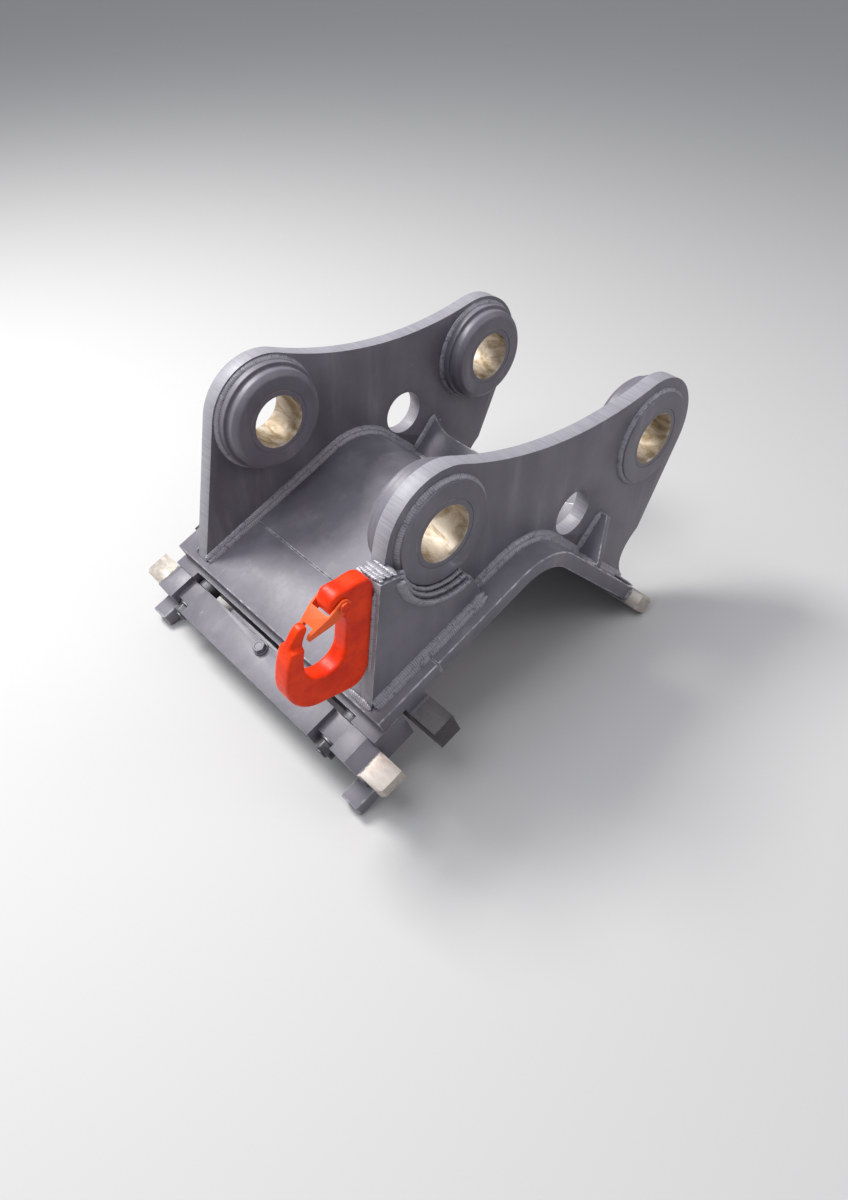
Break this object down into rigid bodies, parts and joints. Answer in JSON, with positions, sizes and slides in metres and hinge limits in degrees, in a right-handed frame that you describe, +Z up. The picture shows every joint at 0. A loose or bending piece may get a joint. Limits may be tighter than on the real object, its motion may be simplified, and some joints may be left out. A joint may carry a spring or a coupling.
{
  "type": "quick coupler",
  "caption": "Mechanical quick coupler for an excavator: welded saddle, two side plates with bushed pin bosses, rear bar, sprung locking bar with prongs, and a latched lifting hook.",
  "frame": {"origin": "centre of the bounding box's bottom face; the coupler stands on its two lock lugs and on the rear bar", "axes": "+X from the locking bar at the nose to the rear bar, +Y to the left side, +Z up; the lifting hook is on the right (-Y) side"},
  "size_m": [0.8152, 0.612, 0.4578],
  "materials": {
    "slate_paint": "satin slate-grey paint over rolled and welded plate, worn bare at the bar ends",
    "bush_steel": "turned, with a straw-coloured film",
    "zinc_steel": "dull plated",
    "spring_steel": "oiled black",
    "hook_paint": "orange-red powder coat on a forging"
  },
  "bodies": {
    "coupler_frame": {"saddle_nose_plate": "slate_paint", "saddle_plate": "slate_paint", "rear_bar": "slate_paint", "side_plate_right": "slate_paint", "side_plate_left": "slate_paint", "front_boss_right": "slate_paint", "front_boss_left": "slate_paint", "rear_boss_right": "slate_paint", "rear_boss_left": "slate_paint", "front_bush_right": "bush_steel", "front_bush_left": "bush_steel", "rear_bush_right": "bush_steel", "rear_bush_left": "bush_steel", "cheek_plate": "slate_paint", "hook_pad": "slate_paint", "gusset_right": "slate_paint", "gusset_left": "slate_paint", "cross_rib": "slate_paint", "nose_beam": "slate_paint", "anvil_bar": "slate_paint", "guide_sleeve_right": "zinc_steel", "guide_sleeve_left": "zinc_steel", "lifting_hook": "hook_paint", "latch_pin": "zinc_steel", "latch_spring": "spring_steel", "lock_spring_right": "spring_steel", "lock_spring_left": "spring_steel"},
    "locking_bar": {"locking_bar": "slate_paint", "lock_lug_right": "slate_paint", "lock_lug_left": "slate_paint", "slot_strip": "slate_paint", "strip_bolt": "zinc_steel", "guide_rod_right": "zinc_steel", "guide_rod_left": "zinc_steel", "front_washer_right": "zinc_steel", "front_washer_left": "zinc_steel", "front_nut_right": "zinc_steel", "front_nut_left": "zinc_steel", "spring_collar_right": "zinc_steel", "spring_collar_left": "zinc_steel", "back_nut_right": "zinc_steel", "back_nut_left": "zinc_steel"},
    "hook_latch": {"hook_latch": "hook_paint"}
  },
  "joints": [
    {"name": "locking_bar_slide", "type": "slide", "parent": "coupler_frame", "child": "locking_bar", "axis": [-0.9274, 0, -0.3741], "range_m": [0, 0.014], "stiffness_N_per_m": 5000, "springref_m": -0.03, "deforming": ["lock_spring_right", "lock_spring_left"]},
    {"name": "hook_latch_hinge", "type": "hinge", "parent": "coupler_frame", "child": "hook_latch", "pos_m": [-0.31898, -0.20615, 0.34916], "axis": [0, -1, 0], "range_deg": [0, 46], "stiffness_Nm_per_rad": 0.08, "springref_deg": -28.65}
  ]
}
